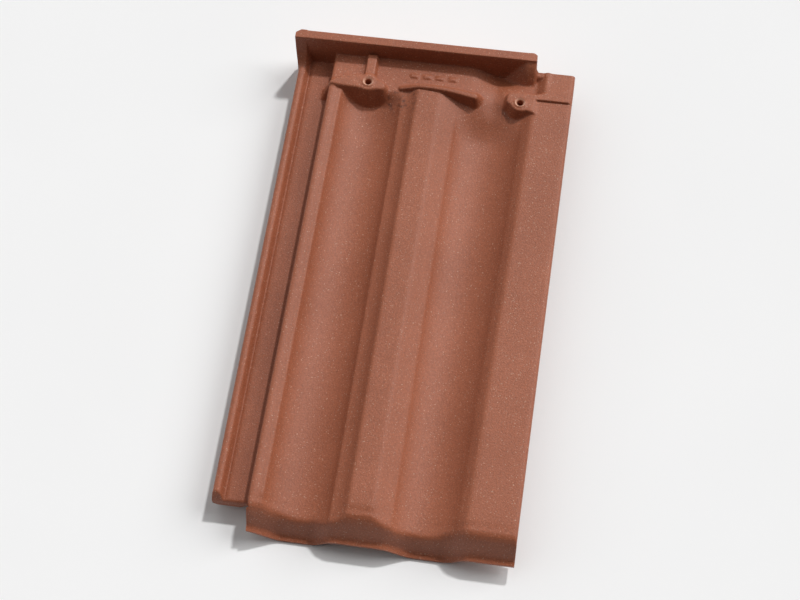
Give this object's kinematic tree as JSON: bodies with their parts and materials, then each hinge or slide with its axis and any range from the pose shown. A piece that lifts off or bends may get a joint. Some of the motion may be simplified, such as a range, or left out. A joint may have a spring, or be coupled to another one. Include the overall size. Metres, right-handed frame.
{
  "type": "interlocking clay roof tile",
  "caption": "Interlocking double trough clay roof tile with a side lock, cover lap, head rib, nail bosses, turned-down nose and hanging nibs.",
  "frame": {"origin": "centre of the bounding box at its bottom, the level on which the lip and the hanging nibs rest", "axes": "+X across the roof from the side lock to the cover lap, +Y up the roof from the nose to the head rib, +Z out of the roof, through the pressed face"},
  "size_m": [0.239, 0.432, 0.0485],
  "materials": {
    "roof_tile": "matt unglazed terracotta"
  },
  "bodies": {
    "root": {"roof_tile": "roof_tile"}
  },
  "joints": []
}
